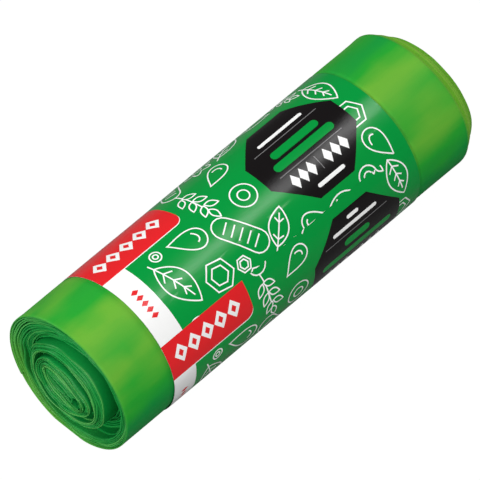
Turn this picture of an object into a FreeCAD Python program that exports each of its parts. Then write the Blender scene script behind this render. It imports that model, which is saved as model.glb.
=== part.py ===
import FreeCAD, Part
import math
import os
import Sketcher

# A roll of bin bags that lies on its flat spot, held shut by a printed band.
# Millimetres. X runs along the roll, Z is up and the floor is at Z = 0.
# The bags are one long strip, folded to FoldWidth and wound up, so each turn is
# equally wide: a turn that slipped out at one end lies as much deeper at the other.
SIZES = [
    ("RollRadius", 25.0, "outside of the outermost turn"),
    ("FoldWidth", 150.0, "width of every turn, a quarter of a 600 mm bag"),
    ("FlatWidth", 12.0, "the spot that the soft roll rests on"),
    ("TailStep", 0.15, "step at the free end of the last bag, eight layers of film"),
    ("TailAngle", -35.0, "where that end lies, in degrees from +Y towards +Z"),
    ("WindingTilt", 28.0, "lean of the turns' seam from +Z towards -Y, in degrees"),
    ("TurnGap", 0.35, "air between two turns at the ends"),
    ("GapMargin", 2.5, "how far the air reaches below the deepest turn"),
    ("OuterDepth", 4.5, "thickness of the outer bundle of turns"),
    ("OuterTurns", 2, "turns shown in the outer bundle"),
    ("SlackDepth", 3.2, "thickness of the slack turns"),
    ("SlackTurns", 2, "slack turns shown"),
    ("SlackSlip", 4.7, "how far the slack turns slipped towards +X"),
    ("InnerTurns", 3, "turns shown between the slack ones and the core"),
    ("InnerSlip", -1.9, "slip of those turns"),
    ("CoreHeight", 8.6, "half height of the flattened core"),
    ("CoreStretch", 2.9, "how much wider than high the core is, to each side"),
    ("CoreTurns", 3, "turns shown in the core"),
    ("CoreSlip", -3.5, "slip of the core"),
    ("CoreFold", 1.0, "half height of the innermost fold"),
    ("SlipStep", 0.6, "extra slip from one turn to the next inside a bundle"),
    ("EyeSide", 2.4, "side of the three-cornered hole beside the first fold"),
    ("EyeOffset", 3.8, "distance of that hole from the middle of the core"),
    ("BandLength", 108.0, "length of the band along the roll"),
    ("BandThickness", 0.15, "thickness of the band"),
    ("BandGap", 0.05, "air between the band and the bags"),
    ("LapWidth", 9.0, "glued lap where the band's two ends meet"),
    ("LapAngle", 140.0, "where the lap's free edge lies, in degrees from +Y towards +Z"),
    ("LapRamp", 1.0, "slope over the hidden edge under the lap"),
]

doc = FreeCAD.newDocument("bin_bag_roll")
sheet = doc.addObject("Spreadsheet::Sheet", "Sizes")
for row, (name, value, note) in enumerate(SIZES, start=1):
    sheet.set(f"A{row}", name)
    sheet.set(f"B{row}", str(value))
    sheet.set(f"C{row}", note)
    sheet.setAlias(f"B{row}", name)
doc.recompute()

AXIS_HEIGHT = "sqrt(Sizes.RollRadius ^ 2 - (Sizes.FlatWidth / 2) ^ 2)"
WAIST_CLEAR = "(Sizes.BandThickness + Sizes.BandGap)"
WHOLE_LENGTH = "2 * Sizes.FoldWidth"
ACROSS_PLANE = "YZ_Plane"


def size(name):
    """The number in the cell with this alias."""
    return float(sheet.get(name))


def worth(expression):
    """What an expression on the sheet comes to."""
    return float(sheet.evalExpression(expression))


def bundles():
    """Each bundle of turns: its slip's cell, its turns, and where it starts as half height and stretch."""
    radius, stretch = size("RollRadius"), size("CoreStretch")
    slack_radius = radius - size("OuterDepth")
    return [
        (None, int(size("OuterTurns")), radius, 0.0),
        ("SlackSlip", int(size("SlackTurns")), slack_radius, 0.0),
        ("InnerSlip", int(size("InnerTurns")), slack_radius - size("SlackDepth"), 0.0),
        ("CoreSlip", int(size("CoreTurns")), size("CoreHeight"), stretch),
        (None, 0, size("CoreFold"), stretch),
    ]


def half_turn_stations():
    """Half height and stretch of the film's outside at the start of each half turn, going inwards."""
    stations = []
    rows = bundles()
    for (_, turns, height, stretch), (_, _, next_height, next_stretch) in zip(rows, rows[1:]):
        for half in range(2 * turns):
            share = half / (2 * turns)
            half_height = height + share * (next_height - height)
            stations.append((half_height, stretch + share * (next_stretch - stretch)))
    stations.append(rows[-1][2:])
    return stations


def slip_expressions():
    """For each turn, how far it slipped towards +X, as an expression on the sheet."""
    slips = []
    for cell, turns, _, _ in bundles():
        start = f"Sizes.{cell}" if cell else "0"
        slips += [f"({start} + {number} * Sizes.SlipStep)" for number in range(turns)]
    return slips


SLIPS = slip_expressions()
MOST_SLIP = f"max({'; '.join(SLIPS)})"
LEAST_SLIP = f"min({'; '.join(SLIPS)})"
MIDDLE_SHIFT = f"-({MOST_SLIP} + {LEAST_SLIP}) / 2"
NEAR_FLOOR = f"(-Sizes.FoldWidth / 2 + {MOST_SLIP} + Sizes.GapMargin)"
FAR_FLOOR = f"(Sizes.FoldWidth / 2 + {LEAST_SLIP} - Sizes.GapMargin)"


def on_circle(radius, angle):
    """Point in a sketch's plane, at an angle in radians from +Y towards +Z."""
    return FreeCAD.Vector(radius * math.cos(angle), radius * math.sin(angle), 0)


def arc_between(radius, start, end):
    """Arc round the axis from one angle to another."""
    return Part.Arc(on_circle(radius, start), on_circle(radius, (start + end) / 2), on_circle(radius, end))


def tilted(across, along):
    """A point of the winding, across the seam's line and along it, in a sketch's plane."""
    lean = math.radians(size("WindingTilt"))
    y = -across * math.cos(lean) - along * math.sin(lean)
    z = -across * math.sin(lean) + along * math.cos(lean)
    return FreeCAD.Vector(y, z, 0)


def spiral(stations, first, air):
    """One whole turn of the film's outside, from half turn number first, grown by the air."""
    curves = []
    for half in (first, first + 1):
        side = 1 if half % 2 == 0 else -1
        height, stretch = stations[half]
        next_height, next_stretch = stations[half + 1]
        radius = (height + next_height) / 2 + air
        middle = side * (height - next_height) / 2
        start = tilted(side * stretch, middle + side * radius)
        turning = tilted(side * (stretch + radius), middle)
        end = tilted(side * stretch, middle - side * radius)
        curves.append(Part.Arc(start, turning, end))
        next_start = tilted(-side * next_stretch, middle - side * radius)
        if next_start.distanceToPoint(end) > 1e-6:
            curves.append(Part.LineSegment(end, next_start))
    return curves


def seam_line(stations, half, air):
    """Line along the seam, from the film's outside to the grown outside of the turn within."""
    height, stretch = stations[half]
    inner_height, inner_stretch = stations[half + 2]
    return Part.LineSegment(tilted(stretch, height), tilted(inner_stretch, inner_height + air))


def turn_section(stations, turn):
    """Closed outline of one turn of film. The last one is filled up to its first fold."""
    first = 2 * turn
    outside = spiral(stations, first, 0.0)
    if first + 4 >= len(stations):
        return outside + [seam_line(stations, first, 0.0)]
    gap = size("TurnGap")
    inside = spiral(stations, first + 2, gap)
    return outside + [seam_line(stations, first, gap), seam_line(stations, first + 2, gap)] + inside


def tail_outline():
    """Outside of the roll: two half circles that shrink by the step from the last bag's free end."""
    radius, step = size("RollRadius"), size("TailStep")
    angle = math.radians(size("TailAngle"))
    outer_end = on_circle(radius, angle)
    opposite = on_circle(step / 2 - radius, angle)
    inner_end = on_circle(radius - step, angle)
    upper = (outer_end + opposite) / 2 + on_circle(radius - 0.25 * step, angle + math.pi / 2)
    lower = (inner_end + opposite) / 2 - on_circle(radius - 0.75 * step, angle + math.pi / 2)
    return [
        Part.Arc(outer_end, upper, opposite),
        Part.Arc(opposite, lower, inner_end),
        Part.LineSegment(inner_end, outer_end),
    ]


def lap_outline():
    """The lap's upper layer: a strip on the band's outside with a slope at the hidden edge."""
    radius, thickness = size("RollRadius"), size("BandThickness")
    lap_radius = radius + thickness
    free_edge = math.radians(size("LapAngle"))
    hidden_edge = free_edge - size("LapWidth") / radius
    foot = hidden_edge - size("LapRamp") / radius
    bed = radius - thickness / 2

    return [
        arc_between(bed, foot, free_edge),
        Part.LineSegment(on_circle(bed, free_edge), on_circle(lap_radius, free_edge)),
        arc_between(lap_radius, hidden_edge, free_edge),
        Part.LineSegment(on_circle(lap_radius, hidden_edge), on_circle(radius, foot)),
        Part.LineSegment(on_circle(radius, foot), on_circle(bed, foot)),
    ]


def eye_outline():
    """Three-cornered hole that the first fold leaves beside the core's middle."""
    reach = size("EyeSide") / math.sqrt(3)
    offset = size("EyeOffset")
    turns = [math.radians(degrees) for degrees in (90, 210, 330)]
    corners = [tilted(offset + reach * math.cos(turn), reach * math.sin(turn)) for turn in turns]
    return [Part.LineSegment(start, end) for start, end in zip(corners, corners[1:] + corners[:1])]


def hold(sketch, expression, kind, *places):
    """Adds a size to a sketch and ties it to the sheet."""
    number = sketch.addConstraint(Sketcher.Constraint(kind, *places, worth(expression)))
    sketch.setExpression(f"Constraints[{number}]", expression)


def draw_curves(sketch, curves):
    sketch.addGeometry(curves, False)


def draw_flattened_circle(sketch, radius, height):
    """Circle round the axis with a flat chord below it. Both sizes are expressions on the sheet."""
    reach, drop = worth(radius), worth(height)
    half = math.sqrt(reach ** 2 - drop ** 2)
    left, right = FreeCAD.Vector(-half, -drop, 0), FreeCAD.Vector(half, -drop, 0)
    over = Part.Arc(right, FreeCAD.Vector(0, reach, 0), left)
    arc, chord = sketch.addGeometry([over, Part.LineSegment(left, right)], False)
    sketch.addConstraint([
        Sketcher.Constraint("Coincident", arc, 3, -1, 1),
        Sketcher.Constraint("Coincident", arc, 1, chord, 2),
        Sketcher.Constraint("Coincident", arc, 2, chord, 1),
        Sketcher.Constraint("Horizontal", chord),
    ])
    hold(sketch, radius, "Radius", arc)
    hold(sketch, height, "DistanceY", chord, 1, -1, 1)


def draw_block_below(sketch, height):
    """Rectangle wider than the roll, from below it up to the given height under the axis."""
    width, depth = "4 * Sizes.RollRadius", "Sizes.RollRadius"
    half, top = worth(width) / 2, -worth(height)
    bottom = top - worth(depth)
    places = [(-half, bottom), (half, bottom), (half, top), (-half, top)]
    corners = [FreeCAD.Vector(y, z, 0) for y, z in places]
    sides = [Part.LineSegment(start, end) for start, end in zip(corners, corners[1:] + corners[:1])]
    lower, right, upper, left = sketch.addGeometry(sides, False)
    for line, following in ((lower, right), (right, upper), (upper, left), (left, lower)):
        sketch.addConstraint(Sketcher.Constraint("Coincident", line, 2, following, 1))
    sketch.addConstraint([
        Sketcher.Constraint("Horizontal", lower),
        Sketcher.Constraint("Vertical", right),
        Sketcher.Constraint("Symmetric", upper, 1, upper, 2, -2),
    ])
    hold(sketch, width, "DistanceX", lower, 1, lower, 2)
    hold(sketch, depth, "DistanceY", right, 1, right, 2)
    hold(sketch, height, "DistanceY", upper, 1, -1, 1)


def new_body(name):
    """Body whose own origin is on the roll's axis, in the middle of the outermost turn."""
    body = doc.addObject("PartDesign::Body", name)
    body.Label = name
    body.setExpression("Placement.Base.x", MIDDLE_SHIFT)
    body.setExpression("Placement.Base.z", AXIS_HEIGHT)
    return body


def across_sketch(body, name, offset):
    """Empty sketch across the roll's axis, at a distance along X that is tied to the sheet."""
    sketch = body.newObject("Sketcher::SketchObject", name)
    plane = next(plane for plane in body.Origin.OriginFeatures if plane.Role == ACROSS_PLANE)
    sketch.AttachmentSupport = [(plane, "")]
    sketch.MapMode = "FlatFace"
    sketch.setExpression("AttachmentOffset.Base.z", offset)
    return sketch


def pad_between(body, name, start, end):
    """Adds material from one distance along X to another. The caller draws its sketch, which is returned."""
    feature = body.newObject("PartDesign::Pad", name)
    feature.Profile = across_sketch(body, f"{name}Section", start)
    feature.setExpression("Length", f"{end} - {start}")
    feature.Refine = False
    return feature.Profile[0]


def pocket_through(body, name):
    """Removes material along the whole roll. The caller draws its sketch, which is returned."""
    feature = body.newObject("PartDesign::Pocket", name)
    feature.Profile = across_sketch(body, f"{name}Section", "0")
    feature.Midplane = True
    feature.setExpression("Length", WHOLE_LENGTH)
    return feature.Profile[0]


def add_end_turns(body):
    """The turns' edges at both ends, each at its own depth, with air between them."""
    stations = half_turn_stations()
    gap = size("TurnGap")
    start = tilted(stations[2][1], stations[2][0] + gap)
    end = tilted(stations[4][1], stations[4][0] + gap)
    outer_hole = spiral(stations, 2, gap) + [Part.LineSegment(end, start)]
    for turn, slip in enumerate(SLIPS):
        section = turn_section(stations, turn) if turn else tail_outline() + outer_hole
        near_edge = f"(-Sizes.FoldWidth / 2 + {slip})"
        far_edge = f"(Sizes.FoldWidth / 2 + {slip})"
        draw_curves(pad_between(body, f"NearTurn{turn + 1}", near_edge, NEAR_FLOOR), section)
        draw_curves(pad_between(body, f"FarTurn{turn + 1}", FAR_FLOOR, far_edge), section)


def build_roll():
    """The wound bags: a waist under the band, a collar at each end, and the turns' edges."""
    body = new_body("bag_roll")
    waist = pad_between(body, "Waist", NEAR_FLOOR, FAR_FLOOR)
    draw_flattened_circle(waist, f"Sizes.RollRadius - {WAIST_CLEAR}", f"{AXIS_HEIGHT} - {WAIST_CLEAR}")
    draw_curves(pad_between(body, "NearCollar", NEAR_FLOOR, "(-Sizes.BandLength / 2)"), tail_outline())
    draw_curves(pad_between(body, "FarCollar", "(Sizes.BandLength / 2)", FAR_FLOOR), tail_outline())
    add_end_turns(body)
    draw_curves(pocket_through(body, "Eye"), eye_outline())
    draw_block_below(pocket_through(body, "FlatSpot"), AXIS_HEIGHT)
    return body


def build_band():
    """The printed band: one sheet round the roll, glued to itself along the lap."""
    body = new_body("label_band")
    near_edge, far_edge = "(-Sizes.BandLength / 2)", "(Sizes.BandLength / 2)"
    sleeve = pad_between(body, "Sleeve", near_edge, far_edge)
    draw_flattened_circle(sleeve, "Sizes.RollRadius", AXIS_HEIGHT)
    draw_flattened_circle(
        sleeve, "Sizes.RollRadius - Sizes.BandThickness", f"{AXIS_HEIGHT} - Sizes.BandThickness"
    )
    draw_curves(pad_between(body, "Lap", near_edge, far_edge), lap_outline())
    body.Tip.Refine = True
    return body


def check_and_write(bodies):
    """Stops on any failed object or bad shape, then writes each sub-part."""
    doc.recompute()
    for item in doc.Objects:
        if "Invalid" in item.State or "Error" in item.State:
            raise RuntimeError(f"{item.Name} failed: {item.State}")
    for body in bodies:
        shape = body.Shape
        if shape.isNull() or not shape.isValid() or len(shape.Solids) != 1:
            raise RuntimeError(f"{body.Label} isn't one valid solid: {len(shape.Solids)}")
        box = shape.BoundBox
        print(body.Label, "volume", round(shape.Volume, 1), "faces", len(shape.Faces))
        print("  x", round(box.XMin, 2), round(box.XMax, 2), "y", round(box.YMin, 2), round(box.YMax, 2))
        print("  z", round(box.ZMin, 3), round(box.ZMax, 3))
    os.makedirs("parts", exist_ok=True)
    for body in bodies:
        body.Shape.exportStep(f"parts/{body.Label}.step")


check_and_write([build_roll(), build_band()])
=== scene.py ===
import math

import bpy
import numpy as np
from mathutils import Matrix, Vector, noise
from mathutils.geometry import delaunay_2d_cdt


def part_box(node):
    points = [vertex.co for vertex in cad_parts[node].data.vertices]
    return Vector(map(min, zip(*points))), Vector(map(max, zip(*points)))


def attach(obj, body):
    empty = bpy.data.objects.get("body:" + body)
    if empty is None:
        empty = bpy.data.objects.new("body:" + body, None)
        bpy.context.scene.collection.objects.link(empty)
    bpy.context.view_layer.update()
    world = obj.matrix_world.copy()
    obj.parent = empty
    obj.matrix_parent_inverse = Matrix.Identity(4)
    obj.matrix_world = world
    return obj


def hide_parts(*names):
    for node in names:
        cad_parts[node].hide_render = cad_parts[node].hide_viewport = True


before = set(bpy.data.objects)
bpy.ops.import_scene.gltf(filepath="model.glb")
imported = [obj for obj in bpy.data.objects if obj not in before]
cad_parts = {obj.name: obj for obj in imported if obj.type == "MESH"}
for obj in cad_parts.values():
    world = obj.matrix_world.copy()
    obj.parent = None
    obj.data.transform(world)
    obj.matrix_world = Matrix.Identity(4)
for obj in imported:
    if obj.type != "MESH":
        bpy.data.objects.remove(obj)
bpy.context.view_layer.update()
bandLow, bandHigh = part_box("label_band")
mm = 0.001
tiny = 1e-6  # keeps a division from dividing by nothing

# the roll as the frame gives it, in metres, X along the roll
roll = {
    "radius": -bandLow.y,
    "axisHeight": bandHigh.z + bandLow.y,
    "middle": (bandLow.x + bandHigh.x) / 2,  # of the outermost turn
    "bandLength": bandHigh.x - bandLow.x,
    "foldWidth": 150 * mm,
    "seamLean": math.radians(28),  # from +Z towards -Y, as the winding's seam leans
    "firmShare": 0.45,  # the inner share of the radius that the flat spot leaves round
    "flatBlend": 0.012,  # how softly the flat spot begins
    # shallow hollows of the outside: depth in mm, length in mm, and how close together round the roll
    "dents": [(0.16, 60, 2.6), (0.05, 16, 6)],
    "dentShift": -0.08,  # mm that the outside lies off its radius on the whole
    "waist": (0.2, 0.05, 1.6),  # mm that the band presses the film in, and where past its edge that ends
}
halfBand = roll["bandLength"] / 2 / mm
halfFold = roll["foldWidth"] / 2 / mm
print("frame loaded, radius", round(roll["radius"] / mm, 2), "mm")


def colour(red, green, blue):
    # a screen colour from 0 to 255 as linear light
    shares = [value / 255 for value in (red, green, blue)]
    linear = [share / 12.92 if share < 0.04045 else ((share + 0.055) / 1.055) ** 2.4 for share in shares]
    return linear + [1]


def smoothStep(value, low, high):
    share = np.clip((np.asarray(value, float) - low) / (high - low), 0, 1)
    return share * share * (3 - 2 * share)


def between(value, rise, fall):
    # 1 between two stretches, and 0 before the first and after the second
    return smoothStep(value, *rise) * (1 - smoothStep(value, *fall))


def bell(value, middle, width):
    return np.exp(-(((value - middle) / width) ** 2))


def wander(size, *places):
    # smooth noise at every place, about -0.5 to 0.5, with bumps of the given size
    return np.array([noise.noise(Vector(place) / size) for place in np.stack(places, -1)])


def settled(y, z):
    # the soft roll's weight pushes its underside flat, and the turns above give way with it
    reach = np.hypot(y, z)
    down = np.clip(-z / np.maximum(reach, tiny), tiny, 1)
    limit = roll["axisHeight"] / down / roll["radius"]
    limit = (1 + limit - np.hypot(1 - limit, roll["flatBlend"])) / 2  # the lesser of it and 1, no crease
    give = smoothStep(reach, roll["firmShare"] * roll["radius"], roll["radius"])
    squeeze = 1 - give * (1 - limit)
    return y * squeeze, z * squeeze


def toFrame(x, along, sideways):
    # from the winding's own section, along its seam and across it, to the frame
    lean = roll["seamLean"]
    y = -along * math.sin(lean) - sideways * math.cos(lean)
    z = along * math.cos(lean) - sideways * math.sin(lean)
    y, z = settled(y, z)
    return np.stack([x, y, z + roll["axisHeight"]], -1)


def dents(x, angle):
    # how far the soft outside stands proud of its radius, in mm
    ring = np.stack([np.cos(angle), np.sin(angle)])
    total = roll["dentShift"]
    for depth, length, density in roll["dents"]:
        total = total + depth * wander(1, x / length, *(ring * density))
    return total


def waist(x):
    depth, first, last = roll["waist"]
    return depth * (1 - smoothStep(np.abs(x) - halfBand, first, last))


class Value:
    # a socket of one node tree, so that shader maths reads as Python
    def __init__(self, shader, socket):
        self.shader = shader
        self.socket = socket

    def join(self, operation, *values):
        return self.shader.node("ShaderNodeMath", {"operation": operation}, dict(enumerate(values)))

    def __add__(self, other):
        return self.join("ADD", self, other)

    def __sub__(self, other):
        return self.join("SUBTRACT", self, other)

    def __rsub__(self, other):
        return self.join("SUBTRACT", other, self)

    def __mul__(self, other):
        return self.join("MULTIPLY", self, other)

    def __truediv__(self, other):
        return self.join("DIVIDE", self, other)

    def __rtruediv__(self, other):
        return self.join("DIVIDE", other, self)

    __radd__ = __add__
    __rmul__ = __mul__

    def size(self):
        return self.join("ABSOLUTE", self)

    def clamped(self):
        return self.join("MINIMUM", self.join("MAXIMUM", self, 0), 1)


class Shader:
    # a new material, or a new world, and its nodes
    def __init__(self, name, owners=bpy.data.materials):
        self.owner = owners.new(name)
        self.owner.use_nodes = True
        self.tree = self.owner.node_tree
        self.tree.nodes.clear()

    def node(self, kind, settings=None, inputs=None, output=0):
        made = self.tree.nodes.new(kind)
        for name, setting in (settings or {}).items():
            setattr(made, name, setting)
        for name, value in (inputs or {}).items():
            if isinstance(value, Value):
                self.tree.links.new(value.socket, made.inputs[name])
            else:
                made.inputs[name].default_value = value
        return Value(self, made.outputs[output]) if made.outputs else None

    def attribute(self, name):
        return self.node("ShaderNodeAttribute", {"attribute_name": name}, output="Fac")

    def position(self):
        return self.node("ShaderNodeTexCoord", output="Object")

    def noise(self, alongX, scale, detail):
        # noise over the object's own coordinates; alongX below 1 draws it out along the roll
        stretch = {0: self.position(), 1: (alongX, 1, 1)}
        place = self.node("ShaderNodeVectorMath", {"operation": "MULTIPLY"}, stretch)
        return self.node("ShaderNodeTexNoise", None, {"Vector": place, "Scale": scale, "Detail": detail})

    def mix(self, share, first, second):
        # sockets 6 and 7 are the two colours, and output 2 the mixed one
        return self.node("ShaderNodeMix", {"data_type": "RGBA"}, {0: share, 6: first, 7: second}, output=2)

    def bump(self, height, strength, distance):
        inputs = {"Height": height, "Strength": strength, "Distance": distance}
        return self.node("ShaderNodeBump", None, inputs)

    def finish(self, inputs):
        surface = self.node("ShaderNodeBsdfPrincipled", None, inputs)
        self.node("ShaderNodeOutputMaterial", None, {"Surface": surface})
        return self.owner


def makePiece(name, points, faces, materials, inkOfFace=None, normals=None, attributes=None):
    mesh = bpy.data.meshes.new(name)
    mesh.from_pydata(np.asarray(points).tolist(), [], faces)
    for material in materials:
        mesh.materials.append(material)
    if inkOfFace is not None:
        mesh.polygons.foreach_set("material_index", np.asarray(inkOfFace, np.int32))
    mesh.polygons.foreach_set("use_smooth", np.ones(len(mesh.polygons), bool))
    for key, values in (attributes or {}).items():
        layer = mesh.attributes.new(key, "FLOAT", "POINT")
        layer.data.foreach_set("value", np.asarray(values, np.float32))
    mesh.validate()
    if normals is not None:
        mesh.normals_split_custom_set_from_vertices(np.asarray(normals).tolist())
    mesh.update()
    piece = bpy.data.objects.new(name, mesh)
    bpy.context.scene.collection.objects.link(piece)
    return piece


# camera, lights and floor

view = {
    "azimuth": math.radians(-46.2),
    "elevation": math.radians(52.8),
    "lens": 700.0,  # mm, long, because the photo is nearly parallel
    "distance": 2.844,
    "pixel": 0.3047 * mm,  # on the roll, at this lens and distance
    "rollRight": -0.7,  # the roll's middle from the picture's middle, in those pixels
    "rollDown": 1.4,
}
studio = {
    "fill": 0.12,  # the world's light on the roll
    "floorHalf": 4.0,  # metres
    "floorGrey": 0.2,
    "floorGlow": 1.2,  # how white the floor is for the camera
    "floorShadow": 0.18,  # the share of the lit floor, with the roll's shadow, in what the camera sees
    "lampDistance": 1.5,
    # each lamp: degrees round the roll from its seam side, degrees of lean towards +X, sides and watts
    "lamps": {
        "keyLamp": {"round": -85, "lean": -10, "size": (0.9, 0.9), "power": 11},
        "sideLamp": {"round": 15, "lean": -12, "size": (0.8, 0.8), "power": 10.6},
        "stripLamp": {"round": -18, "lean": 26, "size": (1.2, 0.1), "power": 4.2},
        "endLamp": {"round": -20, "lean": -72, "size": (0.8, 0.8), "power": 22},
    },
}
white = (1, 1, 1, 1)


def aim(thing, towards):
    thing.rotation_euler = (towards - thing.location).to_track_quat("-Z", "Y").to_euler()


def makeCamera():
    azimuth, elevation = view["azimuth"], view["elevation"]
    right = Vector((math.cos(azimuth), math.sin(azimuth), 0))
    level = Vector((math.sin(azimuth), -math.cos(azimuth), 0))
    back = level * math.cos(elevation) + Vector((0, 0, math.sin(elevation)))
    shift = back.cross(right) * view["rollDown"] - right * view["rollRight"]
    target = Vector((roll["middle"], 0, roll["axisHeight"])) + shift * view["pixel"]
    camera = bpy.data.objects.new("camera", bpy.data.cameras.new("camera"))
    camera.data.lens = view["lens"]
    camera.location = target + back * view["distance"]
    aim(camera, target)
    bpy.context.scene.collection.objects.link(camera)
    bpy.context.scene.camera = camera


def makeLamp(name, lamp):
    light = bpy.data.lights.new(name, "AREA")
    light.shape = "RECTANGLE"
    light.size, light.size_y = lamp["size"]
    light.energy = lamp["power"]
    thing = bpy.data.objects.new(name, light)
    angle, lean = roll["seamLean"] + math.radians(lamp["round"]), math.radians(lamp["lean"])
    around = Vector((0, -math.sin(angle), math.cos(angle)))
    towards = around * math.cos(lean) + Vector((math.sin(lean), 0, 0))
    centre = Vector((roll["middle"], 0, roll["axisHeight"]))
    thing.location = centre + towards * studio["lampDistance"]
    aim(thing, centre)
    thing.visible_camera = False
    bpy.context.scene.collection.objects.link(thing)


def makeWorld():
    # white for the camera, plain grey light for everything else
    shader = Shader("studio", bpy.data.worlds)
    rays = shader.node("ShaderNodeLightPath", output="Is Camera Ray")
    fill = shader.node("ShaderNodeBackground", None, {"Color": white, "Strength": studio["fill"]})
    plain = shader.node("ShaderNodeBackground", None, {"Color": white, "Strength": 1})
    surface = shader.node("ShaderNodeMixShader", None, {0: rays, 1: fill, 2: plain})
    shader.node("ShaderNodeOutputWorld", None, {"Surface": surface})
    bpy.context.scene.world = shader.owner


def makeFloor():
    # pale, lifted towards white for the camera but still with the roll's shadow on it
    shader = Shader("paleFloor")
    grey = studio["floorGrey"]
    rays = shader.node("ShaderNodeLightPath", output="Is Camera Ray")
    pale = shader.node("ShaderNodeBsdfDiffuse", None, {"Color": (grey, grey, grey, 1)})
    glow = shader.node("ShaderNodeEmission", None, {"Color": white, "Strength": studio["floorGlow"]})
    share = rays * (1 - studio["floorShadow"])
    surface = shader.node("ShaderNodeMixShader", None, {0: share, 1: pale, 2: glow})
    shader.node("ShaderNodeOutputMaterial", None, {"Surface": surface})
    half = studio["floorHalf"]
    corners = [(-half, -half, 0), (half, -half, 0), (half, half, 0), (-half, half, 0)]
    floor = makePiece("floor", corners, [(0, 1, 2, 3)], [shader.owner])


makeCamera()
for lampName, lampSettings in studio["lamps"].items():
    makeLamp(lampName, lampSettings)
makeWorld()
makeFloor()
bpy.context.scene.view_settings.view_transform = "Standard"
print("camera, lights and floor made")

# the wound film: turns are counted from the outside in, angles go round from the seam, lengths are in mm

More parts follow.
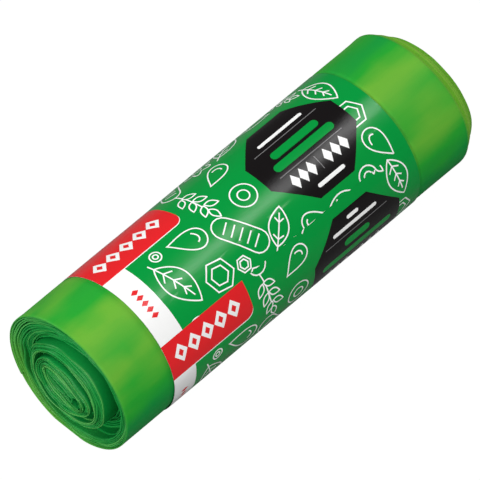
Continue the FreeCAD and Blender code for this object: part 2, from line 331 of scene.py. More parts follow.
film = {
    "stepsPerTurn": 144,
    "lastTurn": 38.6,
    "tailAngle": math.radians(207),  # where the last bag ends, low at the back
    # turn, half height, half width, slip towards +X, and how far it sits off centre
    "stations": [
        (0, 24.52, 24.52, 0.45, 0, 0),
        (0.12, 24.95, 24.95, 0.45, 0, 0),
        (1, 24.5, 24.5, 0.5, 0, 0),
        (1.4, 24.3, 24.3, 0.9, 0, 0.05),
        (7.6, 22.0, 20.3, 1.3, -0.2, 0.9),
        (7.9, 21.8, 20.1, 5.0, -0.2, 0.9),
        (14.6, 16.5, 16.5, 5.3, -0.1, 0.5),
        (14.95, 16.2, 16.2, -0.4, -0.1, 0.5),
        (18, 14.3, 14.9, -1.0, 0, 0.3),
        (21.6, 12.2, 13.2, -1.9, 0, 0.2),
        (21.95, 12.1, 13.0, 2.6, 0, 0.2),
        (24.6, 10.6, 12.2, 2.8, 0, 0.1),
        (24.9, 9.5, 11.5, -2.4, 0, 0.1),
        (25.9, 8.9, 11.0, -2.6, 0, 0),
        (38.6, 0.9, 7.2, -2.2, 0, 0),
        (39.7, 0.5, 7.0, -2.2, 0, 0),
    ],
    "blur": 0.06,  # turns over which one station runs into the next
    "swings": [(0.08, 2.7, 0), (0.03, 1.7, 1)],  # how the radius wavers: amount, turns a wave, phase
    "swingFrom": (1, 2.5),  # the turns over which this sets in
    "squareCore": (0.16, 22, 28),  # how boxy the flattened core is, and the turns over which it gets so
    # folds that neighbouring turns share: their size, and how much comes in from one turn to another
    "crumples": [
        {"size": 8.5, "seed": 31, "grows": [(0.15, -1, 0), (0.3, 7, 18), (0.9, 21, 29)]},
        {"size": 2.8, "seed": 57, "grows": [(0.5, 24, 28)]},
    ],
    "crumpleFrom": (1.5, 5),
    "edgeWave": (0.9, 9, 5),  # how far the edges waver in X, the waves' size, and their change a turn
    "waveFrom": (1, 3),
    "edgeRuffle": (0.14, 3, 50),  # how far one turn's edge strays from its neighbours', its size and seed
    "slackTurns": (7.75, 14.8),  # they have slid in at the near end, most of all on one side
    "slackBlend": 0.1,
    "slackSlip": (-0.9, 2.2, math.radians(100)),  # against the table, more or less, and on which side
    "fill": 0.96,  # the film's share of the way from one turn to the next
    "looseFill": 0.4,  # how much less it is where the turns lie loose
    "looseTurns": (6, 9),
    "bundle": 0.6,  # the thickest that one turn's folded film gets
    "packedDepth": 18.0,  # from here inwards the turns press on each other
    "packedFill": 0.99,
    # openings in the core: along the seam, across it, and how wide
    "eyes": [(-0.2, 5.6, 2.0), (-1.9, 1.0, 0.9)],
    "eyeShape": (3, 0.32, 0.5),  # corners, how pointed they are, and turned by how much
    "eyeFade": 4,  # how far round an opening the film makes way for it
    "coreTurn": 30,
    "farReach": (0.8, 0.8, 0.9, 8),  # how far the far edge runs askew, at which angle, how wide, how deep
    "farSteps": (3.2, 1.2),  # how far the outer turns step out at that end, and from which turn on
    "farDip": (0.5, 88, 26, 15),  # the share of it that is missing, at which angle, how wide, which turns
    "farWave": 0.3,
    "farFlare": 1.6,  # how far the slack turns spread where they stand out
    "flareDepth": 4.5,
    "flareFrom": (76.3, 80),
    "flareRing": ((14, 17), (20, 24)),  # the radii between which it comes and goes
    # round the folded edge: depth below it, share of the thickness, and tint of the edge, which sets its
    # painted highlight
    "edgeRows": [(0.7, 0.0, 0.0), (0.14, 0.12, 0.6), (0.0, 0.5, 1.0), (0.14, 0.88, 0.6), (0.7, 1.0, 0.0)],
    # the outermost turn's rows: how far in from its edge, and how far past the band's edge
    "rimRows": [1.6, 3.2, 7, 11, 15],
    "bandRows": [3, 2, 1.4, 1, 0.6, 0.25, 0, -2, -14, -34],
    "wrapLift": 0.05,
    "dentFade": 4,
    # where the near edges' painted highlight is duller, with painted shade on one side of the slack turns,
    # and where the inner side is yellowish, over turns and over degrees
    "shine": (0.3, (-0.15, 0.25)),
    "outerDull": {"turns": (6, 9), "degrees": (30, 80), "share": 0.6},
    # painted shade over the slack turns' edges on one side
    "slackShade": {"rise": (9, 13), "fall": (23, 25), "middle": -45, "width": 38, "share": 0.65},
    "warmSide": {"turns": (5, 8), "degrees": (95, 140)},
    "coolFront": {"rise": (60, 100), "fall": (145, 175), "share": 0.65},
    # stripes on the outside: middle and width in degrees, and how yellow at the near and the far end; below
    # 0 they turn darker teal
    "stripes": [
        (-70, 12, 0.65, 0.1),
        (-52, 13, 0, -0.6),
        (-20, 12, 0.75, 0.75),
        (5, 34, 0.4, 0.4),
        (12, 9, 0.75, 0.2),
        (33, 11, 0.25, 0.35),
        # painted shade on the roll's lower side, which the lamps light least
        (82, 27, -1.6, -1.3),
        (135, 14, 0.8, 0.8),
        (170, 12, 0.6, 0.5),
        (-130, 14, 0.8, 0.9),
    ],
    "stripeDrift": (5, 30),  # degrees that a stripe strays by, and the length over which it does
    "stripePatches": (10, 20),  # their length, and their width in degrees
    "stripeBlend": 30,  # the stripes change from near to far over this much on each side of the middle
    # noise in the colour and the bump: stretch in X, scale and detail
    "speckle": (0.2, 420, 3),
    "patches": (0.3, 110, 1),
    "crinkle": (0.12, 260, 2),
    "blotch": (1, 300, 2),
    "green": colour(38, 164, 48),
    "streakGreen": colour(106, 177, 54),
    # a teal tone, and painted shade on the roll's lower side
    "tealAndPaintedShadeGreen": colour(6, 150, 62),
    # painted shade: the colour of the end faces' walls deep in their recesses
    "recessShadeGreen": colour(8, 130, 54),
    # painted highlight on the folded edges
    "foldHighlightGreen": colour(78, 160, 76),
    # painted shade between the folded edges
    "betweenShadeGreen": colour(33, 120, 46),
    "farGreen": colour(108, 186, 44),
    # painted highlight on the far end's folded edges
    "farFoldHighlightGreen": colour(158, 208, 84),
    "withinGreen": colour(46, 128, 46),
    "warmGreen": colour(80, 152, 52),
}


def slipAt(turns, angle, slip, uneven):
    # how far the near and the far edge have slipped towards +X
    first, last = film["slackTurns"]
    mean, swing, side = film["slackSlip"]
    blend = film["slackBlend"]
    slack = between(turns, (first - blend, first + blend), (last - blend, last + blend))
    near = slip + uneven + slack * (mean + swing * np.cos(angle - side))
    steps, start = film["farSteps"]
    stepped = np.clip((turns - start) / (first - start), 0, 1) ** 0.5 * (turns < first)
    missing, dipAngle, dipWidth, dipTurns = film["farDip"]
    turned = np.degrees(np.arctan2(np.sin(angle), np.cos(angle)))
    drawnIn = np.where(turns < dipTurns, 1 - missing * bell(turned, dipAngle, dipWidth), 1)
    return near, (slip + steps * stepped) * drawnIn + film["farWave"] * uneven


def openCore(along, sideways):
    # each eye opens in the air between the two turns that lie nearest to it
    steps = film["stepsPerTurn"]
    corners, point, spin = film["eyeShape"]
    for eyeAlong, eyeSideways, radius in film["eyes"]:
        off = np.hypot(along - eyeAlong, sideways - eyeSideways)
        off[:film["coreTurn"] * steps] = np.inf
        off[-2 * steps:] = np.inf
        pick = int(off.argmin())
        centre = [at[pick] + film["fill"] * (at[pick + steps] - at[pick]) for at in (along, sideways)]
        offAlong, offSideways = along - centre[0], sideways - centre[1]
        reach = np.hypot(offAlong, offSideways)
        hole = radius * (1 + point * np.cos(corners * np.arctan2(offSideways, offAlong) + spin))
        grown = np.hypot(reach, hole * bell(reach, 0, film["eyeFade"])) / np.maximum(reach, tiny)
        along, sideways = centre[0] + offAlong * grown, centre[1] + offSideways * grown
    return along, sideways


def windFilm():
    # the strip's outside, seen along the roll, with its slip: one row for each step of every turn
    turns = np.arange(0, film["stations"][-1][0], 1 / film["stepsPerTurn"])
    table = np.array(film["stations"])
    blur = (-film["blur"], 0, film["blur"])
    high, wide, slip, offAlong, offSideways = (
        sum(np.interp(turns + shift, table[:, 0], table[:, column]) for shift in blur) / len(blur)
        for column in range(1, 6)
    )
    swing = sum(size * np.sin(turns * math.tau / wave + phase) for size, wave, phase in film["swings"])
    swing = swing * smoothStep(turns, *film["swingFrom"])
    square, first, last = film["squareCore"]
    boxy = 1 - square * smoothStep(turns, first, last)
    angle = film["tailAngle"] + math.tau * turns
    along = (high + swing) * np.sign(np.cos(angle)) * np.abs(np.cos(angle)) ** boxy
    sideways = (wide + swing) * np.sign(np.sin(angle)) * np.abs(np.sin(angle)) ** boxy
    flat = np.zeros_like(along)
    pushAlong, pushSideways = flat, flat
    for fold in film["crumples"]:
        strength = sum(amount * smoothStep(turns, first, last) for amount, first, last in fold["grows"])
        strength = strength * smoothStep(turns, *film["crumpleFrom"])
        size, seed = fold["size"], fold["seed"]
        pushAlong = pushAlong + strength * wander(size, along, sideways, flat)
        pushSideways = pushSideways + strength * wander(size, along, sideways, flat + seed)
    amount, size, change = film["edgeWave"]
    uneven = amount * wander(size, along, sideways, turns * change) * smoothStep(turns, *film["waveFrom"])
    nearSlip, farSlip = slipAt(turns, angle, slip, uneven)
    along, sideways = openCore(along + offAlong + pushAlong, sideways + offSideways + pushSideways)
    return turns, along, sideways, nearSlip, farSlip


def endProfile(side):
    # the rows of one end, in the order in which a way round the strip meets them
    return [(side, *row) for row in film["edgeRows"]][::side]


def wrapProfile():
    # the outermost turn has rows along its whole outside, closer together at the band's edges
    offsets = [halfFold - inset for inset in film["rimRows"]]
    offsets += [halfBand + past for past in film["bandRows"]]
    places = [-offset for offset in offsets] + [0] + offsets[::-1]
    # a depth is measured from its own end, so the middle's rows name the end that they are nearer to
    outside = [(-1 if x < 0 else 1, halfFold - abs(x), 0.0, 0.0) for x in places]
    return endProfile(-1) + outside + endProfile(1)


def turnProfile():
    # the other turns flare only near their far edge, and are packed deep inside
    flare, packed = film["flareDepth"], film["packedDepth"]
    inside = [(1, flare, 1.0, 0.0), (1, packed, 1.0, 0.0), (-1, packed, 1.0, 0.0)]
    return endProfile(-1) + [(1, flare, 0.0, 0.0)] + endProfile(1) + inside


def edgeHighlightAndShade(turns, turned):
    # how strong the painted highlight on the near and the far edges is, weaker near the seam on the outer
    # turns and dulled by painted shade on one side of the slack turns, and where the outer turns' inner side
    # is yellowish
    still = 0.0 * turns
    off = np.abs(turned)
    least, stretch = film["shine"]
    shine = least + (1 - least) * smoothStep(wander(1.3, turns, still + 7, still), *stretch)
    outer, slack = film["outerDull"], film["slackShade"]
    seamSide = 1 - smoothStep(off, *outer["degrees"])
    slackSide = bell(turned, slack["middle"], slack["width"])
    # painted shade that dulls the near edges' painted highlight
    paintedShade = outer["share"] * (1 - smoothStep(turns, *outer["turns"])) * seamSide
    paintedShade = paintedShade + slack["share"] * between(turns, slack["rise"], slack["fall"]) * slackSide
    yellow, cool = film["warmSide"], film["coolFront"]
    warm = (1 - smoothStep(turns, *yellow["turns"])) * smoothStep(off, *yellow["degrees"])
    warm = warm * (1 - cool["share"] * between(turned, cool["rise"], cool["fall"]))
    return shine * (1 - paintedShade), shine, warm


def flared(x, along, sideways, depth):
    # at the far end the edge runs askew, and the slack turns spread where they stand out
    amount, middle, width, deepest = film["farReach"]
    off = (np.arctan2(sideways, along) - middle + math.pi) % math.tau - math.pi
    x = x + amount * bell(off, 0, width) * (1 - min(depth / deepest, 1))
    reach = np.hypot(along, sideways)
    ring = between(reach, *film["flareRing"])
    grow = 1 + film["farFlare"] * ring * smoothStep(x, *film["flareFrom"]) / reach
    return x, along * grow, sideways * grow


def dented(x, along, sideways):
    # the outermost turn, soft, and pressed in under the band
    lift = dents(x, np.arctan2(sideways, along)) * smoothStep(halfFold - np.abs(x), 0, film["dentFade"])
    grow = 1 + (lift - waist(x) + film["wrapLift"]) / np.hypot(along, sideways)
    return along * grow, sideways * grow


def ruffled(along, sideways, side, depth):
    # one turn's edge strays from its neighbours'
    amount, size, seed = film["edgeRuffle"]
    amount = amount * (1 - 0.6 * depth / film["edgeRows"][0][0])
    along = along + amount * wander(size, along, sideways, 0 * along + 9 * side)
    sideways = sideways + amount * wander(size, along, sideways, 0 * along + 9 * side + seed)
    return along, sideways


def sweepFilm(winding, firstTurn, lastTurn, profile, outside):
    # one closed strip: the profile carried along the winding from one turn to another
    turns, along, sideways, nearSlip, farSlip = winding
    steps = film["stepsPerTurn"]
    picks = np.arange(round(firstTurn * steps), round(lastTurn * steps) + 1)
    here, still = turns[picks], 0.0 * picks
    inAlong, inSideways = along[picks + steps] - along[picks], sideways[picks + steps] - sideways[picks]
    bundled = wander(1.1, here, still, still + 0.5)
    loose = smoothStep(bundled, 0.05, 0.3) * smoothStep(here, *film["looseTurns"])
    fill = film["fill"] - film["looseFill"] * loose
    fill = np.minimum(fill, film["bundle"] / np.hypot(inAlong, inSideways))
    # deep inside, the last turn closes on the roll's heart
    closing = film["packedFill"] * smoothStep(here, film["lastTurn"] - 1.05, film["lastTurn"] - 0.95)
    heartAlong, heartSideways = along[-2 * steps:-steps].mean(), sideways[-2 * steps:-steps].mean()
    nearHighlight, farHighlight, warm = edgeHighlightAndShade(here, np.degrees(np.arctan2(sideways, along))[picks])
    rows, highlights, within = [], [], []
    for side, depth, share, tint in profile:
        packed = depth >= film["packedDepth"] and not outside
        thick = (film["packedFill"] if packed else fill) * share
        a = along[picks] + thick * inAlong
        s = sideways[picks] + thick * inSideways
        if packed:
            a, s = a + closing * (heartAlong - a), s + closing * (heartSideways - s)
        x = side * (halfFold - depth) + (nearSlip if side < 0 else farSlip)[picks]
        if side > 0:
            x, a, s = flared(x, a, s, depth)
        if outside:
            a, s = dented(x, a, s)
        elif depth <= film["edgeRows"][0][0]:
            a, s = ruffled(a, s, side, depth)
        rows.append(toFrame(roll["middle"] + x * mm, a * mm, s * mm))
        # the folded edges' painted highlight
        highlights.append(tint * (nearHighlight if side < 0 else farHighlight))
        # above 0 it is the inner side at the near end, below 0 at the far end
        within.append(still + smoothStep(share, 0, 0.2) * (1 if side < 0 else -0.6))
    wide = len(profile)
    faces = []
    for step in range(len(picks) - 1):
        base = step * wide
        for row in range(wide):
            following = (row + 1) % wide
            faces.append((base + row, base + wide + row, base + wide + following, base + following))
    last = (len(picks) - 1) * wide
    faces += [tuple(range(wide)), tuple(last + row for row in range(wide))[::-1]]
    # the edge tint is the folded edges' painted highlight
    shades = {"foldHighlight": highlights, "within": within, "warm": [warm] * wide}
    shades = {key: np.stack(values, 1).reshape(-1) for key, values in shades.items()}
    return np.stack(rows, 1).reshape(-1, 3), faces, shades


def streaksAt(points):
    # where the outside turns yellowish, in soft stripes along the roll, and where it turns darker teal,
    # which on the roll's lower side is painted shade
    lean = roll["seamLean"]
    y, z = points[:, 1], points[:, 2] - roll["axisHeight"]
    along = -y * math.sin(lean) + z * math.cos(lean)
    sideways = -y * math.cos(lean) - z * math.sin(lean)
    angle = np.degrees(np.arctan2(sideways, along))
    x = (points[:, 0] - roll["middle"]) / mm
    far = smoothStep(x, -film["stripeBlend"], film["stripeBlend"])
    stray, strayLength = film["stripeDrift"]
    patchLength, patchWidth = film["stripePatches"]
    total = np.zeros(len(points))
    for centre, width, nearAmount, farAmount in film["stripes"]:
        drift = stray * wander(1, x / strayLength, 0 * x + centre, 0 * x)
        off = (angle - centre - drift + 180) % 360 - 180
        patchy = 1 + wander(1, x / patchLength, 0 * x + centre, angle / patchWidth)
        total += (nearAmount + (farAmount - nearAmount) * far) * patchy * bell(off, 0, width)
    return np.clip(total, -1, 1)


def satinFilm():
    # the outermost turn: green in yellowish and darker stripes; the darker stripe on the roll's lower side
    # is painted shade
    shader = Shader("satinFilm")
    speckle = shader.noise(*film["speckle"])
    patches = shader.noise(*film["patches"])
    tinted = shader.attribute("streak") + (speckle - 0.5) * 0.4 + (patches - 0.5) * 1.1
    # darker teal at random, and painted shade on the roll's lower side
    outside = shader.mix((0 - tinted).clamped(), film["green"], film["tealAndPaintedShadeGreen"])
    outside = shader.mix(tinted.clamped(), outside, film["streakGreen"])
    within = shader.attribute("within")
    # painted highlight on the far rim's inner side
    outside = shader.mix((0 - within).clamped(), outside, film["farFoldHighlightGreen"])
    inside = shader.mix(shader.attribute("warm"), film["withinGreen"], film["warmGreen"])
    return shader.finish({
        "Base Color": shader.mix(within.clamped(), outside, inside),
        "Roughness": 0.42 + 0.12 * speckle,
        "Normal": shader.bump(shader.noise(*film["crinkle"]), 0.25, 0.0005),
        "Specular IOR Level": 0.12,
    })


def foldedFilm():
    # the other turns: painted highlight on the edges, painted shade between them and deep inside, yellower
    # at the far end
    shader = Shader("foldedFilm")
    place = shader.node("ShaderNodeSeparateXYZ", None, {0: shader.position()}) - roll["middle"]
    rim = roll["foldWidth"] / 2
    # painted shade: darker from 0.3 mm below the end faces' edges inwards
    recessShade = ((rim - 0.3 * mm - place.size()) / (3 * mm)).clamped()
    far = ((place - rim + 1 * mm) / (1 * mm)).clamped()
    # the folded edges' painted highlight
    edge = shader.attribute("foldHighlight")
    # the walls: painted shade at the near end, yellower at the far end
    wall = shader.mix(far, film["recessShadeGreen"], film["farGreen"])
    # painted shade between the edges, painted highlight on them
    fold = shader.mix((edge * 1.5 - 0.5).clamped(), film["betweenShadeGreen"], film["foldHighlightGreen"])
    fold = shader.mix(far, fold, shader.mix(edge, film["farGreen"], film["farFoldHighlightGreen"]))
    # painted highlight on the edges, fading into the walls' painted shade deeper in
    lit = ((edge * 2).clamped() * (1 - 0.85 * recessShade)).clamped()
    warm = shader.attribute("warm") * 0.75 * (1 - far)
    return shader.finish({
        "Base Color": shader.mix(warm, shader.mix(lit, wall, fold), film["warmGreen"]),
        "Roughness": 0.3 + 0.2 * shader.noise(*film["blotch"]),
        "Specular IOR Level": 0.22,
    })


def makeFilm():
    winding = windFilm()
    wrapPoints, wrapFaces, wrapShades = sweepFilm(winding, 0, 1, wrapProfile(), True)
    turnPoints, turnFaces, turnShades = sweepFilm(winding, 1, film["lastTurn"], turnProfile(), False)
    wrapShades["streak"] = streaksAt(wrapPoints)
    wrap = makePiece("outerWrap", wrapPoints, wrapFaces, [satinFilm()], attributes=wrapShades)
    inner = makePiece("woundTurns", turnPoints, turnFaces, [foldedFilm()], attributes=turnShades)
    for piece in (wrap, inner):
        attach(piece, "root")
        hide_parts("bag_roll")
    print("film wound:", len(turnFaces) + len(wrapFaces), "faces")


makeFilm()

# the label band: a printed sheet glued round the roll, laid out flat first
# x runs along the roll and s round it, in mm

band = {
    "thickness": 0.15,
    "lap": 9.0,
    "lapRamp": 1.0,
    "lapClearance": 0.01,
    "hiddenEdge": math.radians(1.4),  # from the roll's seam side
    "segment": math.radians(2.5),
    "crossStep": 5.4,
    "lastCut": (1.0, 0.3),  # how near the sheet's far edges a cut across it may come, in x and in s
    "mergeDistance": 1e-5,
    "lineWidth": 0.46,
    "firstCell": -1.0,  # where the print's first repeat starts
    "cellHeight": 58.5,
    "stripWidth": 9.3,
    "stripRow": {"x": 4.7, "first": 32.0, "step": 2.3, "count": 5, "size": (3.1, 1.9)},
    "tab": (35.1, 23.0, 3.2),  # length, height and the rounded corner
    "tabRow": {"fromTop": 7.2, "first": 5.6, "step": 5.7, "count": 5, "size": (5.4, 6.6)},
    "tabHole": (2.2, 2.9),
    "panel": (80.0, 29.3, 18.8, 16.9, 11.4),  # middle, half sizes and the cut corners
    "panelRule": (27.0, 0.3),  # length and width
    # below the lower rule: a row of lozenges, a short rule across the row's middle, and a bar
    "panelRow": {"below": 3.8, "places": (-10.4, -6.9, -3.4, 3.6, 7.1, 10.6), "size": (3.2, 5.4)},
    "panelMark": (0.3, 1.3, 6.3),
    "panelFoot": (9.4, 11.5, 1.3),
    # two kinds of panel, the second for the print's first repeat; heights are from the panel's middle
    "panels": [
        {
            "shift": 0,
            "rules": (-6.8, 4.2),
            "bars": [  # ink, height, length and width
                ("printWhite", -9.3, 19, 1.3),
                ("fieldGreen", -2.9, 20, 2.9),
                ("fieldGreen", 1.2, 25.5, 2.9),
            ],
        },
        {
            "shift": 1.5,
            "rules": (-8.5, 3.0),
            "bars": [
                ("printWhite", -13.9, 5, 1.3),
                ("printWhite", -11.1, 19, 1.3),
                ("fieldGreen", -5.1, 11, 2.9),
                ("fieldGreen", -0.2, 30, 2.9),
            ],
        },
    ],
    "grain": (0.25, 160, 2),
}
inks = {
    "fieldGreen": (1, 150, 61),
    "printWhite": (250, 250, 249),
    "tabRed": (230, 36, 41),
    "panelBlack": (20, 17, 18),
    "ruleGrey": (118, 117, 118),
    "sheetBack": (205, 222, 208),
}


def rightOf(points, closed):
    # at every point of a line, one unit to its right, longer where the line bends
    ahead = np.roll(points, -1, 0) - points
    ahead = ahead / np.linalg.norm(ahead, axis=1, keepdims=True)
    behind = np.roll(ahead, 1, 0)
    if not closed:
        ahead[-1] = behind[-1]
        behind[0] = ahead[0]
    along = ahead + behind
    along = along / np.linalg.norm(along, axis=1, keepdims=True)
    stretch = 1 / np.maximum((ahead * along).sum(1), 0.5)
    return np.stack([along[:, 1], -along[:, 0]], 1) * stretch[:, None]


def outlined(points):
    # a closed shape drawn with a line: the line's outer edge in white, the inside green again
    points = np.asarray(points, float)
    shift = rightOf(points, True) * band["lineWidth"] / 2
    return [("printWhite", points + shift), ("fieldGreen", points - shift)]


def stroke(points):
    points = np.asarray(points, float)
    shift = rightOf(points, False) * band["lineWidth"] / 2
    return [("printWhite", np.concatenate([points + shift, (points - shift)[::-1]]))]


def ellipse(width, height, count=28):
    turn = np.arange(count) * math.tau / count
    return np.stack([width / 2 * np.cos(turn), height / 2 * np.sin(turn)], 1)


def leaf(length, width, veins=3):
    share = np.linspace(0, 1, 19)
    half = width / 2 * np.sin(math.pi * share) ** 0.85 * (1.15 - 0.3 * share)
    x = (share - 0.5) * length
    rim = np.concatenate([np.stack([x, -half], 1), np.stack([x, half], 1)[-2:0:-1]])
    art = outlined(rim) + stroke([(-0.5 * length - 2.2, 0), (0.34 * length, 0)])
    for vein in range(veins):
        root = (0.42 * vein / max(veins - 1, 1) - 0.32) * length
        rise = (0.27 - 0.05 * vein) * width
        for side in (-1, 1):
            art += stroke([(root, 0), (root + 0.11 * length, side * rise)])
    return art


def drop(length, width):
    turn = np.linspace(0, math.tau, 30, endpoint=False)
    half = width / 2 * 1.25 * np.sin(turn) * np.sin(turn / 2) ** 1.3
    art = outlined(np.stack([length / 2 * np.cos(turn), half], 1))
    glint = np.linspace(math.radians(120), math.radians(215), 7)
    shine = np.stack([0.33 * length * np.cos(glint) + 0.02 * length, 0.3 * width * np.sin(glint)], 1)
    return art + stroke(shine)


def hexagons(radius):
    corners = ellipse(2 * radius, 2 * radius, 6)
    return outlined(corners) + outlined(corners * 0.6)


def rings(radius):
    return outlined(ellipse(2 * radius, 2 * radius)) + outlined(ellipse(0.9 * radius, 0.9 * radius, 18))


def blossom(radius):
    turn = np.linspace(0, math.tau, 48, endpoint=False)
    reach = radius * (0.8 + 0.2 * np.cos(6 * turn))
    rim = np.stack([reach * np.cos(turn), reach * np.sin(turn)], 1)
    return outlined(rim) + outlined(ellipse(0.62 * radius, 0.62 * radius, 16))


def pod(length, width, stripes=5):
    turn = np.linspace(-math.pi / 2, math.pi / 2, 9)
    cap = np.stack([(length - width) / 2 + width / 2 * np.cos(turn), width / 2 * np.sin(turn)], 1)
    art = outlined(np.concatenate([cap, -cap]))
    for x in np.linspace(-0.28, 0.28, stripes) * length:
        art += stroke([(x, -0.3 * width), (x, 0.3 * width)])
    return art


def sprig(length, pairs=3):
    share = np.linspace(-0.5, 0.5, 9)
    art = stroke(np.stack([share * length, 0.06 * length * np.sin(share * math.pi)], 1))
    blade = leaf(0.3 * length, 0.15 * length, 0)[:2]  # without its stem
    for pair in range(pairs):
        for side in (-1, 1):
            x = (-0.26 + 0.28 * pair) * length + 1.5
            art += placed(blade, x, side * 0.13 * length, side * 48)
    return art + placed(blade, 0.6 * length, 0.05 * length)


def placed(art, x, s, turn=0):
    turn = math.radians(turn)
    spin = np.array([[math.cos(turn), math.sin(turn)], [-math.sin(turn), math.cos(turn)]])
    return [(ink, np.asarray(points) @ spin + (x, s)) for ink, points in art]


def bar(ink, x, s, length, height):
    # a plain bar with round ends
    turn = np.linspace(-math.pi / 2, math.pi / 2, 7)
    reach = (length - height) / 2
    cap = np.stack([reach + height / 2 * np.cos(turn), height / 2 * np.sin(turn)], 1)
    return placed([(ink, np.concatenate([cap, -cap]))], x, s)


def lozenge(ink, x, s, width, height):
    across, down = width / 2, height / 2
    return [(ink, np.array([(x - across, s), (x, s - down), (x + across, s), (x, s + down)]))]


def block(ink, x0, x1, s0, s1):
    return [(ink, np.array([(x0, s0), (x1, s0), (x1, s1), (x0, s1)]))]


def printedTab():
    length, height, corner = band["tab"]
    turn = np.linspace(0, math.pi / 2, 8)
    rounded = np.stack([length - corner + corner * np.cos(turn), height - corner + corner * np.sin(turn)], 1)
    shape = np.concatenate([[(-1, 0), (length, 0)], rounded, [(-1, height)]])
    art = [("printWhite", shape + (0, 0.35)), ("tabRed", shape)]  # the white one shows as a thin rim
    row = band["tabRow"]
    for number in range(row["count"]):
        x, s = row["first"] + row["step"] * number, height - row["fromTop"]
        art += lozenge("printWhite", x, s, *row["size"]) + lozenge("tabRed", x, s, *band["tabHole"])
    return art


def printedPanel(panel):
    middle, centre, half, tall, cut = band["panel"]
    centre += panel["shift"]
    corners = []
    for across, down in ((-1, -1), (1, -1), (1, 1), (-1, 1)):
        flank = (middle + across * half, centre + down * (tall - cut))
        top = (middle + across * (half - cut), centre + down * tall)
        corners += [flank, top] if across * down > 0 else [top, flank]
    art = [("panelBlack", np.array(corners))]
    reach, thin = (size / 2 for size in band["panelRule"])
    for s in panel["rules"]:
        art += block("ruleGrey", middle - reach, middle + reach, centre + s - thin, centre + s + thin)
    for ink, s, length, height in panel["bars"]:
        art += bar(ink, middle, centre + s, length, height)
    below = centre + panel["rules"][1]
    width, first, last = band["panelMark"]
    art += block("ruleGrey", middle - width, middle, below + first, below + last)
    row = band["panelRow"]
    for x in row["places"]:
        art += lozenge("printWhite", middle + x, below + row["below"], *row["size"])
    foot, length, height = band["panelFoot"]
    return art + bar("printWhite", middle, below + foot, length, height)


def printLayout():
    # outline motifs of one repeat: what, where along the roll and round it, and turned how far
    return [
        (leaf(17.5, 9.2), 17.5, 38.5, 72),
        (drop(13, 8.4), 29.6, 29.8, -155),
        (hexagons(5.2), 29.8, 44.5, 12),
        (rings(1.9), 18.6, 27.2),
        (hexagons(2.6), 38.6, 46.6),
        (rings(3.6), 15.0, 53.5),
        (sprig(11), 24.0, 54.8, 10),
        (pod(17, 6.6), 44.5, 4.5, -62),
        (blossom(5.4), 56.0, 5.2),
        (sprig(15), 42.0, 19.5, 78),
        (drop(11, 7), 55.0, 17.0, 150),
        (pod(19, 7.4), 44.0, 39.0, 58),
        (rings(4.3), 54.0, 30.0),
        (leaf(12.5, 6.8, 2), 55.5, 44.5, -48),
        (hexagons(4.2), 41.0, 53.5, 20),
        (leaf(12, 6, 2), 54.0, 55.0, 8),
        (leaf(15, 8), 68.5, 5.0, -38),
        (drop(11, 7.2), 81.5, 4.8, 25),
        (sprig(12), 92.0, 4.0, 60),
        (drop(9.5, 6.2), 67.0, 50.0, 12),
        (leaf(13, 6.4, 2), 79.5, 52.0, 12),
        (rings(3.4), 90.5, 50.5),
        (hexagons(3.6), 70.0, 57.5),
        (leaf(14.5, 7.8), 100.0, 17.5, 82),
        (hexagons(5.0), 99.0, 32.0),
        (drop(12, 7.6), 99.8, 44.5, 68),
        (blossom(4.6), 99.5, 56.5),
    ]


def printedCell(panel):
    # one repeat of the print, in the order in which the inks lie on each other
    art = []
    for motif, *place in printLayout():
        art += placed(motif, *place)
    art += block("printWhite", -1, band["stripWidth"], -1, band["cellHeight"] + 1)
    row = band["stripRow"]
    for number in range(row["count"]):
        art += lozenge("tabRed", row["x"], row["first"] + row["step"] * number, *row["size"])
    return art + printedTab() + printedPanel(panel)


def onBand(x, s, depth):
    # from the flat sheet to its place round the roll
    radius = roll["radius"] / mm
    girth = math.tau * radius
    lifted = smoothStep(s, girth - band["lapRamp"], girth) * (band["thickness"] + band["lapClearance"])
    angle = band["hiddenEdge"] + s / radius
    reach = (radius - depth + lifted + dents(x - halfBand, angle)) * mm
    along = roll["middle"] + (x - halfBand) * mm
    return toFrame(along, reach * np.cos(angle), reach * np.sin(angle))


def inkUnder(places, shapes, names):
    # the uppermost shape's ink at each place, or -1 off the sheet, which is the first shape
    found = np.full(len(places), -1)
    for number, (ink, ring) in enumerate(shapes):
        low, high = ring.min(0), ring.max(0)
        near = np.flatnonzero(((places > low) & (places < high)).all(1) & ((found >= 0) | (number == 0)))
        x, s = places[near].T
        inside = np.zeros(len(near), bool)
        for (x0, s0), (x1, s1) in zip(ring, np.roll(ring, -1, 0)):
            if s0 != s1:
                inside ^= ((s0 > s) != (s1 > s)) & (x < x0 + (x1 - x0) * (s - s0) / (s1 - s0))
        found[near[inside]] = names.index(ink)
    return found


def inkMaterial(name, tint):
    shader = Shader(name)
    grain = shader.noise(*band["grain"])
    return shader.finish({
        "Base Color": colour(*tint),
        "Roughness": 0.14 + 0.07 * grain,
        "Specular IOR Level": 0.27,
        "Normal": shader.bump(grain, 0.12, 0.0004),
    })


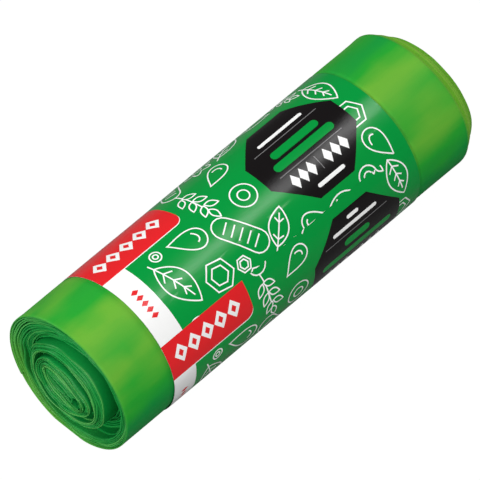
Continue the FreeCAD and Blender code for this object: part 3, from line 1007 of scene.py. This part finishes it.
def layOutBand(names):
    # the flat sheet cut along all its printed shapes, with lines across so that it can bend
    length = 2 * halfBand
    height = math.tau * roll["radius"] / mm + band["lap"]
    shapes = block("fieldGreen", 0, length, 0, height)
    for cell in range(-1, math.ceil((height - band["firstCell"]) / band["cellHeight"])):
        art = printedCell(band["panels"][cell == 0])
        shapes += placed(art, 0, band["firstCell"] + cell * band["cellHeight"])
    points, edges = [], []
    for _, ring in shapes:
        count = len(ring)
        edges += [(len(points) + number, len(points) + (number + 1) % count) for number in range(count)]
        points += [Vector(point) for point in ring]
    xStep, sStep = band["crossStep"], band["segment"] * roll["radius"] / mm
    xRoom, sRoom = band["lastCut"]
    lines = [((0, s), (length, s)) for s in np.arange(sStep, height - sRoom, sStep)]
    lines += [((x, 0), (x, height)) for x in np.arange(xStep, length - xRoom, xStep)]
    for ends in lines:
        edges.append((len(points), len(points) + 1))
        points += [Vector(end) for end in ends]
    flat, _, faces, _, _, _ = delaunay_2d_cdt(points, edges, [], 0, band["mergeDistance"], False)
    middles = np.array([[flat[corner] for corner in face] for face in faces]).mean(1)
    ink = inkUnder(middles, shapes, names)
    kept = [face for face, found in zip(faces, ink) if found >= 0]
    used = sorted({corner for face in kept for corner in face})
    place = {corner: number for number, corner in enumerate(used)}
    kept = [tuple(place[corner] for corner in face) for face in kept]
    x, s = np.array([flat[corner] for corner in used]).T
    print("band laid out:", len(used), "points,", len(kept), "faces")
    return x, s, kept, [int(found) for found in ink if found >= 0]


def outwardNormals(x, s, outside):
    # the sheet's own normals, which run smoothly across the cuts between the inks
    step = 0.05
    alongS = onBand(x, s + step, 0.0) - onBand(x, s - step, 0.0)
    alongX = onBand(x + step, s, 0.0) - onBand(x - step, s, 0.0)
    normals = np.cross(alongX, alongS)
    normals /= np.linalg.norm(normals, axis=1, keepdims=True)
    outward = np.sign((normals * (outside - [0, 0, roll["axisHeight"]]))[:, 1:].sum())
    return normals * outward, outward


def makeBand():
    names = list(inks)
    x, s, faces, inkOfFace = layOutBand(names)
    outside, inside = onBand(x, s, 0.0), onBand(x, s, band["thickness"])
    normals, outward = outwardNormals(x, s, outside)
    first, second, third = faces[0][:3]
    flatTurn = (x[second] - x[first]) * (s[third] - s[first])
    flatTurn -= (x[third] - x[first]) * (s[second] - s[first])
    if flatTurn * outward < 0:
        faces = [face[::-1] for face in faces]
    count = len(x)
    ways = [way for face in faces for way in zip(face, face[1:] + face[:1])]
    known = set(ways)
    rim = [way for way in ways if way[::-1] not in known]
    allFaces = faces + [tuple(corner + count for corner in face[::-1]) for face in faces]
    allFaces += [(end, start, start + count, end + count) for start, end in rim]
    materials = [inkMaterial(name, tint) for name, tint in inks.items()]
    inkOfAll = inkOfFace + [names.index("sheetBack")] * (len(faces) + len(rim))
    points, pointNormals = np.concatenate([outside, inside]), np.concatenate([normals, -normals])
    sleeve = makePiece("printedSleeve", points, allFaces, materials, inkOfAll, pointNormals)
    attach(sleeve, "root")
    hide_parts("label_band")
    print("band wrapped round the roll:", len(allFaces), "faces")


makeBand()
